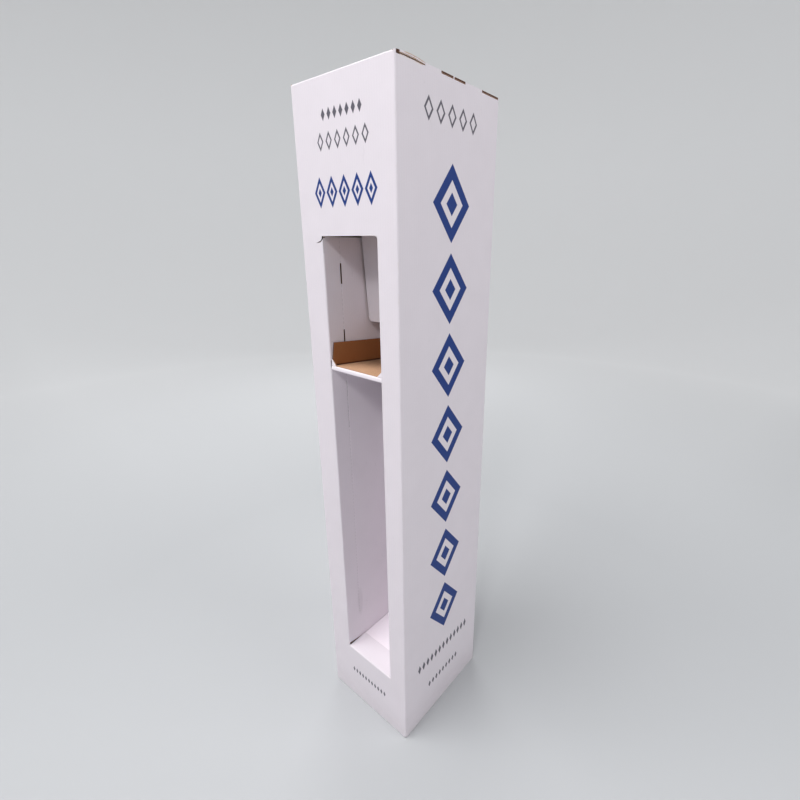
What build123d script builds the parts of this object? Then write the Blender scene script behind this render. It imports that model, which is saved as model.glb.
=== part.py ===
# Floor display stand folded from white-faced corrugated board.
# A tall column with a window in its front wall, and a tray hung inside it.
# Millimetres, +Z up. The window faces -Y. The origin is the middle of the base.
from build123d import *
import os

os.makedirs("parts", exist_ok=True)

# Corrugated board, white outside and kraft inside
board = 3.0
inner_fold_radius = 0.4
outer_fold_radius = inner_fold_radius + board

# Clearances
glue_gap = 0.2
fit_gap = 0.3
cut_gap = 0.8

# Column
column_width = 292.0
column_depth = 328.0
column_height = 1600.0
fold_round = 2.6
fold_strip = 6.0
glue_lap_width = 35.0
glue_lap_inset = 10.0
seam_gap = 0.5
corner_cut = 4.6

# Window in the front wall
left_stile = 71.5
window_width = 167.0
window_corner_radius = 8.0
sill_height = 180.0
header_height = 289.0
relief_cut_radius = 12.0
relief_cut_width = 2.5
relief_cut_tail = 13.0

# Flap folded in at the window's left edge
flap_gap_at_fold = 7.0
flap_top_gap = 1.0
flap_corner_radius = 10.0
crease_depth = 45.0
crease_width = 3.0
crease_groove = 0.7
crease_rise = 92.0
slit_width = 4.0
slit_length = 45.0
slit_drops = (79.0, 228.5)
closed_slit_width = 0.5
closed_slit_length = 123.0
closed_slit_drop = 107.5

# Flap folded in at the sill
sill_flap_depth = 61.0

# Lid, dust flaps and the fingers that lock them, measured back from the front
lid_gap = 0.5
tuck_length = 40.0
dust_flap_length = 100.0
dust_flap_taper = 18.0
lid_start = 3.0
lid_back_gap = 5.0
fingers = [(78.0, 124.0), (161.0, 164.5), (200.5, 260.0)]
bow_rise = 2.5
bow_flat_rise = 0.1
bow_start = 4.0
bow_reach = 90.0

# Bottom flaps
flat_flap_length = 155.0
flat_flap_taper = 12.0
side_flap_length = 100.0
side_flap_run = 22.0
side_flap_rise_run = 10.0
bottom_flap_corner = 15.0

# Inner liner: right wall and back wall of the compartment
liner_rise = 89.0
liner_flange = 40.0
liner_lap = 30.0

# Plinth
plinth_seam = 0.6

# Tray
tray_drop = 285.0
tray_tilt = 4.6
tray_lip_height = 53.8
tray_lip_start = 1.6
tray_lip_slant = 2.8
tray_front_setback = 2.3
tray_back_gap = 1.0
tray_corner = 16.0
tray_corner_setback = 0.5
hem_length = 42.0
hem_gap = 5.0
tab_length = 60.0
tab_setback = 70.0
tab_reach = 9.0
tab_gap = 1.2

# Panel that hangs behind the top of the window
ceiling_clearance = 3.0
hanging_flange = 60.0
hanging_setback = 106.5
hanging_tilt = 4.3
hanging_length = 198.0
hanging_gap_left = 5.5
hanging_gap_right = 1.0
hanging_corner_radius = 9.0

# Places worked out from the sizes above
half_width = column_width / 2
half_depth = column_depth / 2
front = -half_depth
front_inside = front + board
back_inside = half_depth - board
window_left = -half_width + left_stile
window_right = window_left + window_width
window_top = column_height - header_height
shoulder_height = column_height - board - lid_gap
lid_reach = half_width - board - fit_gap
flap_back = front + window_width
flap_bottom = sill_height + flap_gap_at_fold
flap_top = window_top - flap_top_gap
crease_line = front + crease_depth
crease_bottom = sill_height + crease_rise
crease_top = window_top - slit_drops[0] + slit_length / 2
base_top = 2 * board + fit_gap
floor_bottom = base_top + fit_gap
plinth_top = sill_height - board - fit_gap
lid_end = column_depth - lid_back_gap
right_wall = window_right
back_wall = flap_back + 2 * fit_gap
ceiling_height = window_top + ceiling_clearance
liner_top = window_top + liner_rise
tray_height = window_top - tray_drop
tray_half_width = (right_wall - window_left) / 2 - fit_gap
closed_slit_height = tray_height - closed_slit_drop


def board_section(plane, face_points, side):
    """Section of a folded board, from the corners of one face and the side its thickness lies on."""
    turn = 90 if side == Side.LEFT else -90
    face = [Vector(*point) for point in face_points]
    steps = [(end - start).normalized().rotate(Axis.Z, turn) for start, end in zip(face, face[1:])]
    folds = list(zip(steps, steps[1:]))
    shifts = [steps[0], *[(a + b) / (1 + a.dot(b)) for a, b in folds], steps[-1]]
    back = [corner + shift * board for corner, shift in zip(face, shifts)]
    face_outside = [(a.cross(b).Z > 0) == (side == Side.LEFT) for a, b in folds]
    face_radii = [outer_fold_radius if outside else inner_fold_radius for outside in face_outside]
    back_radii = [inner_fold_radius if outside else outer_fold_radius for outside in face_outside]
    with BuildSketch(plane) as section:
        with BuildLine():
            FilletPolyline(*face, radius=face_radii)
            FilletPolyline(*back, radius=back_radii)
            Line(face[0], back[0])
            Line(face[-1], back[-1])
        make_face()
    return section.sketch


def wall_plan(with_hollow):
    """Plan of the column's walls: three folded corners and the glued seam at the back left."""
    with BuildSketch() as plan:
        Rectangle(column_width, column_depth)
        back_corners = plan.vertices().group_by(Axis.Y)[-1]
        seam_corner = back_corners.sort_by(Axis.X)[0]
        fillet([corner for corner in plan.vertices() if corner != seam_corner], outer_fold_radius)
        if with_hollow:
            RectangleRounded(
                column_width - 2 * board,
                column_depth - 2 * board,
                inner_fold_radius,
                mode=Mode.SUBTRACT,
            )
    return plan.sketch


def depth_strips(spans, gap):
    """Strips across the column, from spans measured back from its front."""
    with BuildSketch() as strips:
        for start, end in spans:
            with Locations((0, front + (start + end) / 2)):
                Rectangle(2 * column_width, end - start - 2 * gap)
    return strips.sketch


# Tray's own planes: its floor, and its section as seen from the right
tray_middle = (window_left + right_wall) / 2
tray_origin = Vector(tray_middle, front + tray_front_setback, tray_height)
tray_plane = Plane(origin=tray_origin, x_dir=(1, 0, 0)).rotated((-tray_tilt, 0, 0))
tray_side_plane = Plane(origin=tray_origin, x_dir=tray_plane.y_dir, z_dir=tray_plane.x_dir)


def tray_slot(wall_face):
    """Slot for the tray's tab, drawn on the face of the wall that it passes through."""
    with BuildSketch(tray_side_plane.offset(wall_face - tray_middle)) as slot:
        with Locations((tab_setback + tab_length / 2, -board / 2)):
            Rectangle(tab_length + 2 * fit_gap, board + 2 * fit_gap)
    return slot.sketch


# Column: walls, window flaps, lid, dust flaps and bottom flaps in one folded sheet
with BuildPart() as column_sleeve:
    # Four walls, rounded where they fold into the end flaps
    extrude(wall_plan(with_hollow=True), amount=shoulder_height)
    ends = column_sleeve.faces().sort_by(Axis.Z)
    fillet(ends[0].outer_wire().edges() + ends[-1].outer_wire().edges(), fold_round)

    # Seam at the back left, and the glue lap of the left wall behind it
    with BuildSketch():
        with Locations((-half_width, back_inside - seam_gap / 2)):
            Rectangle(2 * board - 2 * seam_gap, seam_gap)
    extrude(amount=column_height, mode=Mode.SUBTRACT)
    with BuildSketch(Plane.XY.offset(glue_lap_inset)):
        with Locations((-half_width + board + glue_lap_width / 2, back_inside - board / 2)):
            Rectangle(glue_lap_width + board, board)
    extrude(amount=column_height - tuck_length - 2 * glue_lap_inset)

    # Window, cut wider where its two flaps fold in
    with BuildSketch(Plane.XZ.offset(half_depth)) as window:
        with Locations(((window_left + window_right) / 2, (sill_height + window_top) / 2)):
            Rectangle(window_width, window_top - sill_height)
        fillet(window.vertices().group_by(Axis.Y)[-1].sort_by(Axis.X)[-1], window_corner_radius)
        with Locations((window_left, (flap_bottom + flap_top) / 2)):
            Rectangle(fold_strip + board, flap_top - flap_bottom)
        with Locations(((window_left + window_right) / 2, sill_height)):
            Rectangle(window_width - 2 * cut_gap, fold_strip + board)
    extrude(amount=-2 * board, mode=Mode.SUBTRACT)

    # Wall flap, folded in at the window's left edge
    wall_fold = [
        (window_left - fold_strip, front),
        (window_left, front),
        (window_left, front + fold_strip),
    ]
    wall_fold_section = board_section(Plane.XY.offset(flap_bottom), wall_fold, Side.LEFT)
    extrude(wall_fold_section, amount=flap_top - flap_bottom)
    with BuildSketch(Plane.YZ.offset(window_left)) as wall_flap:
        Polygon(
            (front + outer_fold_radius, flap_bottom),
            (front + sill_flap_depth, plinth_top + cut_gap),
            (flap_back, plinth_top + cut_gap),
            (flap_back, flap_top),
            (front + outer_fold_radius, flap_top),
            align=None,
        )
        fillet(wall_flap.vertices().sort_by(Axis.X)[-2:], flap_corner_radius)
    extrude(amount=-board)

    # Crease down the wall flap, with its open slits and its closed slit
    with BuildSketch(Plane.XY.offset(crease_bottom)):
        Polygon(
            (window_left, crease_line - crease_width / 2),
            (window_left, crease_line + crease_width / 2),
            (window_left - crease_groove, crease_line),
            align=None,
        )
    extrude(amount=crease_top - crease_bottom, mode=Mode.SUBTRACT)
    with BuildSketch(Plane.YZ.offset(window_left)):
        with Locations(*[(crease_line, window_top - drop) for drop in slit_drops]):
            Rectangle(slit_width, slit_length)
        with Locations((crease_line, closed_slit_height)):
            SlotOverall(closed_slit_length, closed_slit_width, rotation=90)
        with Locations((crease_line, closed_slit_height - closed_slit_length / 2)):
            Circle(closed_slit_width)
    extrude(amount=2 * board, both=True, mode=Mode.SUBTRACT)

    # Slot in the wall flap for the tray's left tab
    extrude(tray_slot(window_left), amount=2 * board, both=True, mode=Mode.SUBTRACT)

    # Relief cut that curves away from the window's top left corner
    with BuildSketch(Plane.XZ.offset(half_depth)):
        relief_middle = (window_left - relief_cut_radius - cut_gap, window_top)
        with BuildLine():
            inner_arc = CenterArc(relief_middle, relief_cut_radius - relief_cut_width / 2, 282, 78)
            outer_arc = CenterArc(relief_middle, relief_cut_radius + relief_cut_width / 2, 282, 78)
            tip = (inner_arc @ 0 + outer_arc @ 0) / 2 - (inner_arc % 0) * relief_cut_tail
            Line(inner_arc @ 0, tip)
            Line(outer_arc @ 0, tip)
            Line(inner_arc @ 1, outer_arc @ 1)
        make_face()
    extrude(amount=-2 * board, mode=Mode.SUBTRACT)

    # Flap folded in at the sill
    sill_fold = [
        (front, sill_height - fold_strip),
        (front, sill_height),
        (front + sill_flap_depth, sill_height),
    ]
    sill_section = board_section(Plane.YZ.offset(window_left + cut_gap), sill_fold, Side.RIGHT)
    extrude(sill_section, amount=window_width - 2 * cut_gap)

    # Front and back bottom flaps, flat on the ground
    with BuildSketch() as flat_flaps:
        hinge = half_depth - fold_round
        hinge_half = half_width - side_flap_run - side_flap_rise_run - board
        tip_half = hinge_half - flat_flap_taper
        flap = Polygon(
            (-hinge_half, -hinge),
            (hinge_half, -hinge),
            (tip_half, front_inside + flat_flap_length),
            (-tip_half, front_inside + flat_flap_length),
            align=None,
        )
        mirror(flap, about=Plane.XZ)
        tips = flat_flaps.vertices().filter_by(lambda corner: abs(corner.Y) < half_depth / 2)
        fillet(tips, bottom_flap_corner)
    extrude(amount=board)

    # Side bottom flaps, which step up to lie over them
    side_flap_line = [
        (half_width - fold_round, 0),
        (half_width - side_flap_run, 0),
        (half_width - side_flap_run - side_flap_rise_run, board + fit_gap),
        (half_width - side_flap_length, board + fit_gap),
    ]
    side_flap_section = board_section(Plane.XZ, side_flap_line, Side.RIGHT)
    side_flap = extrude(side_flap_section, amount=back_inside - cut_gap, both=True)
    mirror(side_flap, about=Plane.YZ)

    # Dust flaps of the side walls, under the lid
    with BuildSketch(Plane.XY.offset(shoulder_height - board)) as dust_flaps:
        hinge_half = back_inside - board - cut_gap
        tip_half = hinge_half - dust_flap_taper
        flap = Polygon(
            (half_width - fold_round, -hinge_half),
            (half_width - fold_round, hinge_half - fit_gap),
            (half_width - dust_flap_length, tip_half),
            (half_width - dust_flap_length, -tip_half),
            align=None,
        )
        mirror(flap, about=Plane.YZ)
    extrude(amount=board)

    # Lid, folded back from the front wall and tucked in behind the back wall
    tuck_face = back_inside - fit_gap
    lid_line = [
        (front, shoulder_height - fold_strip),
        (front, column_height),
        (tuck_face, column_height),
        (tuck_face, column_height - tuck_length),
    ]
    extrude(board_section(Plane.YZ, lid_line, Side.RIGHT), amount=lid_reach, both=True)

    # Tabs at the lid's sides, between the fingers of the side walls
    breaks = [lid_start] + [depth for finger in fingers for depth in finger] + [lid_end]
    with BuildSketch(Plane.XY.offset(column_height - board)):
        Rectangle(column_width, column_depth)
        add(depth_strips(zip(breaks[::2], breaks[1::2]), fit_gap), mode=Mode.INTERSECT)
        Rectangle(2 * lid_reach - board, column_depth, mode=Mode.SUBTRACT)
    extrude(amount=board)

    # Fingers of the side walls, level with the lid, and the back wall's raw top edge
    with BuildSketch(Plane.XY.offset(shoulder_height - fold_strip)):
        add(wall_plan(with_hollow=True))
        finger_spans = [(0, lid_start), *fingers, (lid_end, column_depth)]
        add(depth_strips(finger_spans, 0), mode=Mode.INTERSECT)
        Rectangle(column_width - 2 * board, column_depth, mode=Mode.SUBTRACT)
        with Locations((0, half_depth - board / 2)):
            Rectangle(column_width - 2 * board, board)
    extrude(amount=column_height - shoulder_height + fold_strip)

    # Near right tab of the lid, sprung up in a bow
    bow_front = front + bow_start
    bow_back = front + fingers[0][0] - fit_gap
    bow_middle = (bow_front + bow_back) / 2
    lid_bottom = column_height - board
    with BuildSketch(Plane.XY.offset(lid_bottom)):
        with Locations((half_width - bow_reach / 2, bow_middle)):
            Rectangle(bow_reach, bow_back - bow_front)
    extrude(amount=board, mode=Mode.SUBTRACT)
    for across, rise in ((half_width - bow_reach, bow_flat_rise), (half_width, bow_rise)):
        with BuildSketch(Plane.YZ.offset(across)):
            with BuildLine():
                under = ThreePointArc(
                    (bow_front, lid_bottom),
                    (bow_middle, lid_bottom + rise),
                    (bow_back, lid_bottom),
                )
                over = ThreePointArc(
                    (bow_front, column_height),
                    (bow_middle, column_height + rise),
                    (bow_back, column_height),
                )
                Line(under @ 0, over @ 0)
                Line(under @ 1, over @ 1)
            make_face()
    loft()

    # Small cuts where the bottom flaps meet at each corner
    for across, along in ((-1, -1), (1, -1), (-1, 1), (1, 1)):
        corner = (across * half_width, along * half_depth, 0)
        corner_plane = Plane(origin=corner, z_dir=(across, along, -1))
        with BuildSketch(corner_plane.offset(-corner_cut)):
            Circle(5 * corner_cut)
        extrude(amount=5 * corner_cut, mode=Mode.SUBTRACT)


# Liner: the compartment's right wall and back wall in one folded sheet
with BuildPart() as inner_liner:
    flange_face = front_inside + glue_gap
    lap_face = window_left - board - glue_gap
    liner_line = [
        (right_wall + liner_flange, flange_face),
        (right_wall, flange_face),
        (right_wall, back_wall),
        (lap_face, back_wall),
        (lap_face, back_wall - liner_lap),
    ]
    liner_section = board_section(Plane.XY.offset(floor_bottom), liner_line, Side.RIGHT)
    extrude(liner_section, amount=liner_top - floor_bottom)
    extrude(tray_slot(right_wall), amount=2 * board, both=True, mode=Mode.SUBTRACT)


# Plinth: the compartment's floor, with four skirts that stand on the bottom flaps
with BuildPart() as plinth_box:
    plinth_left = window_left - board + glue_gap
    plinth_right = right_wall - fit_gap
    plinth_front = front_inside + fit_gap
    plinth_back = back_wall - fit_gap
    seam_inset = board + plinth_seam
    side_skirts = [
        (plinth_left, floor_bottom),
        (plinth_left, plinth_top),
        (plinth_right, plinth_top),
        (plinth_right, floor_bottom),
    ]
    side_section = board_section(Plane.XZ.offset(-plinth_front - seam_inset), side_skirts, Side.RIGHT)
    extrude(side_section, amount=plinth_front - plinth_back + 2 * seam_inset)
    end_skirts = [
        (plinth_front, floor_bottom),
        (plinth_front, plinth_top),
        (plinth_back, plinth_top),
        (plinth_back, floor_bottom),
    ]
    end_section = board_section(Plane.YZ.offset(plinth_left + seam_inset), end_skirts, Side.RIGHT)
    extrude(end_section, amount=plinth_right - plinth_left - 2 * seam_inset)


# Tray: hemmed front edge, three lips, two front corners and the two tabs that carry it
with BuildPart() as shelf_tray:
    # Floor with the back lip, and the hem folded under the front edge
    tray_depth = (back_wall - tray_back_gap - tray_origin.Y) / tray_plane.y_dir.Y
    tray_depth -= tray_lip_height * tray_plane.z_dir.Y
    seam_inset = board + plinth_seam
    hem_join = outer_fold_radius + cut_gap
    back_lip_face = tray_depth - board
    back_line = [
        (hem_join, 0),
        (back_lip_face, 0),
        (back_lip_face, tray_lip_height),
    ]
    back_section = board_section(tray_side_plane, back_line, Side.RIGHT)
    extrude(back_section, amount=tray_half_width - seam_inset, both=True)
    hem_bottom = -2 * board - hem_gap
    hem_line = [
        (hem_length, hem_bottom),
        (0, hem_bottom),
        (0, 0),
        (hem_join, 0),
    ]
    hem_section = board_section(tray_side_plane, hem_line, Side.RIGHT)
    extrude(hem_section, amount=tray_half_width, both=True)

    # Side lips, folded up from the floor
    lip_run = tray_depth - seam_inset
    front_plane = Plane(origin=tray_origin, x_dir=tray_plane.x_dir, z_dir=-tray_plane.y_dir)
    lip_line = [
        (tray_half_width - seam_inset, -board),
        (tray_half_width, -board),
        (tray_half_width, board),
    ]
    lip_section = board_section(front_plane.offset(-hem_join), lip_line, Side.LEFT)
    lip_fold = extrude(lip_section, amount=hem_join - lip_run)
    with BuildSketch(tray_side_plane.offset(tray_half_width)):
        Polygon(
            (tray_lip_start, glue_gap),
            (lip_run, glue_gap),
            (lip_run, tray_lip_height),
            (tray_lip_start + tray_lip_slant, tray_lip_height),
            (tray_lip_start, tray_corner),
            align=None,
        )
    right_lip = extrude(amount=-board)

    # Corner flaps, folded in from the front ends of the lips
    with BuildSketch(front_plane.offset(-tray_corner_setback)):
        Polygon(
            (tray_half_width, glue_gap),
            (tray_half_width, tray_corner + glue_gap),
            (tray_half_width - tray_corner, glue_gap),
            align=None,
        )
    right_corner = extrude(amount=-board)

    # Tabs level with the floor, with a gap cut above them in the lips
    with BuildSketch(tray_plane.offset(-board)):
        for edge in (-tray_half_width, tray_half_width):
            with Locations((edge, tab_setback + tab_length / 2)):
                Rectangle(2 * outer_fold_radius, tab_length + 2 * fit_gap)
    extrude(amount=board + tab_gap, mode=Mode.SUBTRACT)
    with BuildSketch(tray_plane) as tab:
        with Locations((tray_half_width, tab_setback + tab_length / 2)):
            Rectangle(2 * tab_reach, tab_length)
        fillet(tab.vertices().sort_by(Axis.X)[-2:], board)
    right_tab = extrude(amount=-board)
    for piece in (lip_fold, right_lip, right_corner, right_tab):
        mirror(piece, about=Plane.YZ.offset(tray_middle))


# Panel that closes the compartment's top and hangs down behind the window
with BuildPart() as hanging_panel:
    hang_front = front_inside + glue_gap
    hang_fold = front + hanging_setback
    hang_drop = Vector(0, -hanging_length).rotate(Axis.Z, hanging_tilt)
    hang_foot = (hang_fold + hang_drop.X, ceiling_height + hang_drop.Y)
    hanging_line = [
        (hang_front, ceiling_height + hanging_flange),
        (hang_front, ceiling_height),
        (hang_fold, ceiling_height),
        hang_foot,
    ]
    hanging_plane = Plane.YZ.offset(window_left + hanging_gap_left)
    hanging_section = board_section(hanging_plane, hanging_line, Side.LEFT)
    extrude(hanging_section, amount=right_wall - hanging_gap_right - window_left - hanging_gap_left)
    short_edges = hanging_panel.edges().filter_by(lambda edge: abs(edge.length - board) < fit_gap)
    fillet(short_edges.group_by(Axis.Z)[0], hanging_corner_radius)


pieces = {
    "column_sleeve": column_sleeve,
    "inner_liner": inner_liner,
    "plinth_box": plinth_box,
    "shelf_tray": shelf_tray,
    "hanging_panel": hanging_panel,
}
for name, piece in pieces.items():
    piece.part.label = name
    export_step(piece.part, f"parts/{name}.step")
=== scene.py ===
import math

import bmesh
import bpy
from mathutils import Matrix, Vector


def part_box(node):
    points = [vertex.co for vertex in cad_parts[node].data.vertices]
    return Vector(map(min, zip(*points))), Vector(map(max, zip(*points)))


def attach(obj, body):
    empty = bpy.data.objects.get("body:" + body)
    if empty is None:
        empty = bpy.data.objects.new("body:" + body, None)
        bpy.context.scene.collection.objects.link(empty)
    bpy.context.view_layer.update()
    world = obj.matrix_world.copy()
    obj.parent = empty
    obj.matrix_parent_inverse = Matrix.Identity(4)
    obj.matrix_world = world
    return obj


bl_info = {
    "name": "Cardboard Display Stand",
    "version": (1, 1, 0),
    "blender": (4, 5, 0),
    "location": "View3D > Sidebar > Display Stand",
    "description": "Paper, print and raw edges for a folded cardboard floor stand",
    "category": "Object",
}

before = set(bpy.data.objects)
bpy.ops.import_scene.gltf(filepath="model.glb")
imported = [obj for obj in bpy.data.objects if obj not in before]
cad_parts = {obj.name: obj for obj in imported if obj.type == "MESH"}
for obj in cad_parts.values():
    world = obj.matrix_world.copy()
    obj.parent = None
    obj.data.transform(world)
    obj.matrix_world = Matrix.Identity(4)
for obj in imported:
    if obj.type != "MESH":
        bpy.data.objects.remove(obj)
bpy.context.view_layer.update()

# Places on the folded board, in metres
COLUMN_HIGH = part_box("column_sleeve")[1]
HALF_WIDTH = COLUMN_HIGH.x
HALF_DEPTH = COLUMN_HIGH.y
FRONT = -HALF_DEPTH
BOARD = 0.003
FOLD_RADIUS = 0.0034
LID_TOP = 1.600
WINDOW_LEFT = -0.0745
WINDOW_RIGHT = 0.0925
WINDOW_TOP = 1.311
SILL = 0.180
SILL_FLAP_BACK = FRONT + 0.061
FLAP_BACK = FRONT + 0.167
CREASE = FRONT + 0.045
BOW_FRONT = 0.004
BOW_BACK = 0.0777
BOW_RISE = 0.0025
FINGERS = ((-0.001, 0.003), (0.078, 0.124), (0.161, 0.1645), (0.2005, 0.260), (0.323, 0.330))
BACK_WALL = FLAP_BACK + 0.0006
LAP_FACE = WINDOW_LEFT - BOARD - 0.0002
PLINTH_LOW, PLINTH_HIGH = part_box("plinth_box")
TRAY_ORIGIN = Vector(((WINDOW_LEFT + WINDOW_RIGHT) / 2, FRONT + 0.0023, 1.026))
TRAY_TILT = math.radians(4.6)
TRAY_HALF_WIDTH = 0.0832
TRAY_BACK_LIP = 0.1605
HANG_LOW, HANG_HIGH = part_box("hanging_panel")
HANG_FOLD = FRONT + 0.1065
CEILING = 1.314
HANG_TILT = math.radians(4.3)
UNDER_LID = LID_TOP - BOARD
SEAM = 0.16095

# A face belongs to a plane that it is nearer to than this, in metres
NEAR = 0.0004
HAIR = 0.0003

# Soft step of a mask that depends on where a face looks, and of a printed line in metres
TURN = 0.1
PRINT_SOFT = 0.0006

# Strength and depth in metres of the paper's relief
RELIEF = 0.35
RELIEF_DEPTH = 0.0004

# Colours of wear, of greyer patches low down, and of painted shade in creases, lips, folds and cuts
TORN_TAN = (0.60, 0.42, 0.29)
RAGGED_TAN = (0.56, 0.37, 0.25)
CREASE_SHADE = (0.20, 0.17, 0.19)
CUT_SHADE = (0.045, 0.030, 0.030)
LOW_GREY = (0.36, 0.32, 0.30)
RUBBED = (0.62, 0.55, 0.50)
LIP_SHADE = (0.275, 0.092, 0.021)
LIP_FOLD_SHADE = (0.045, 0.012, 0.005)

# Torn strip under the sprung tab: its ends, height before it is torn, thickness and inset in metres
TORN_START = FRONT + BOW_FRONT + 0.007
TORN_END = FRONT + BOW_BACK - 0.002
TORN_HEIGHT = 0.0006
TORN_PAPER = 0.0003
TORN_INSET = 0.0006
TORN_COLUMNS = 72

# Floor: flat as far as its radius, then curved up into a wall
FLOOR_RADIUS = 4.5
FLOOR_CURVE = 2.5
WALL_TOP = 12.0
BEHIND = (-0.626, 0.780)

# Lamps: name, place, the point that it faces and the side of its square
LAMPS = (
    ("key", (1.45, -2.90, 3.65), (0.0, -0.1, 0.95), 0.60),
    ("top", (-1.00, -2.00, 5.60), (0.0, -0.2, 0.60), 3.0),
    ("fill", (-2.30, 2.20, 2.60), (0.0, 0.0, 0.80), 2.2),
    ("side", (2.70, 0.90, 2.90), (0.0, 0.0, 1.10), 1.8),
)

# The photograph's camera: place and directions, then pixels of its square picture
EYE = (0.7393, -0.7898, 1.2934)
FORWARD = (-0.59483, 0.74060, -0.31254)
RIGHT = (0.77781, 0.62844, 0.00883)
PICTURE = 800
FOCAL = 442.083
CENTRE = (434.72, 391.37)
SENSOR = 36.0


def colour(name, text, default):
    """A colour that the user can change."""
    return bpy.props.FloatVectorProperty(
        name=name, description=text, subtype="COLOR", size=3, min=0.0, max=1.0, default=default
    )


def length(name, text, default):
    """A length that the user can change."""
    return bpy.props.FloatProperty(
        name=name, description=text, default=default, min=0.0, unit="LENGTH", precision=4
    )


def strength(name, text, default):
    """A strength of light that the user can change."""
    return bpy.props.FloatProperty(name=name, description=text, default=default, min=0.0)


class StandPaper(bpy.types.PropertyGroup):
    """Colours of the board."""

    white: colour("White face", "Coated outer face of the board", (0.80, 0.742, 0.79))
    kraft: colour("Kraft face", "Uncoated inner face of the board", (0.50, 0.298, 0.180))
    liner: colour("Liner edge", "Paper liners at a cut edge", (0.44, 0.27, 0.17))
    edge: colour("Raw edge", "Fluted paper at a cut edge", (0.105, 0.036, 0.022))
    flute: colour("Flute shadow", "Hollows between the flutes", (0.040, 0.012, 0.007))
    flute_pitch: length("Flute pitch", "Distance from one flute to the next", 0.0065)


class StandPrint(bpy.types.PropertyGroup):
    """Colours and sizes of the printed pattern."""

    blue: colour("Blue ink", "Large pattern", (0.011, 0.042, 0.215))
    grey: colour("Grey ink", "Small lozenges", (0.062, 0.054, 0.080))
    side_width: length("Side lozenge width", "Width of the large side lozenges", 0.124)
    side_height: length("Side lozenge height", "Height of the large side lozenges", 0.152)
    side_pitch: length("Side lozenge pitch", "Distance between the large side lozenges", 0.172)
    side_top: length("Side lozenge start", "Height of the top of the side pattern", 1.461)
    line: length("Line width", "Width of the outlined lozenges' lines", 0.019)


class StandStage(bpy.types.PropertyGroup):
    """Floor and light."""

    floor: colour("Floor", "Plain pale floor and backdrop", (0.48, 0.49, 0.505))
    glow: strength("Backdrop light", "Light of the backdrop itself behind the stand", 0.28)
    key: strength("Key light", "Strength of the light from the front right", 45.5)
    top: strength("Top light", "Strength of the large light above the front left", 256.0)
    fill: strength("Fill light", "Strength of the light from behind on the left", 40.0)
    side: strength("Side light", "Strength of the light from the right", 33.0)
    room: strength("Room light", "Strength of the light from all round", 0.02)


class Amount:
    """A number socket of a material. Python's operators on it add Math nodes."""

    def __init__(self, finish, socket):
        self.finish = finish
        self.socket = socket

    def math(self, operation, *others, clamp=False):
        return self.finish.number(
            "ShaderNodeMath", {"operation": operation, "use_clamp": clamp}, [self, *others]
        )

    def __add__(self, other):
        return self.math("ADD", other)

    def __radd__(self, other):
        return self.math("ADD", other)

    def __sub__(self, other):
        return self.math("SUBTRACT", other)

    def __rsub__(self, other):
        return self.finish.number("ShaderNodeMath", {"operation": "SUBTRACT"}, [other, self])

    def __mul__(self, other):
        return self.math("MULTIPLY", other)

    def __rmul__(self, other):
        return self.math("MULTIPLY", other)

    def __truediv__(self, other):
        return self.math("DIVIDE", other)

    def __pow__(self, other):
        return self.math("POWER", other)

    def __abs__(self):
        return self.math("ABSOLUTE")

    def __and__(self, other):
        return self.math("MULTIPLY", other)

    def __or__(self, other):
        return self.math("MAXIMUM", other)

    def __invert__(self):
        return 1.0 - self

    def low(self, other):
        return self.math("MINIMUM", other)

    def high(self, other):
        return self.math("MAXIMUM", other)

    def clamped(self):
        return self.math("ADD", 0.0, clamp=True)

    def sine(self):
        return self.math("SINE")

    def fract(self):
        return self.math("FRACT")

    def above(self, limit, soft=0.0001):
        """1 above the limit and 0 below it, over a soft step."""
        return ((self - limit) / soft).math("ADD", 0.5, clamp=True)

    def below(self, limit, soft=0.0001):
        """1 below the limit and 0 above it, over a soft step."""
        return ((limit - self) / soft).math("ADD", 0.5, clamp=True)

    def between(self, low, high, soft=0.0001):
        """1 between two limits and 0 outside them."""
        middle = (low + high) / 2
        return abs(self - middle).below((high - low) / 2, soft)


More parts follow.
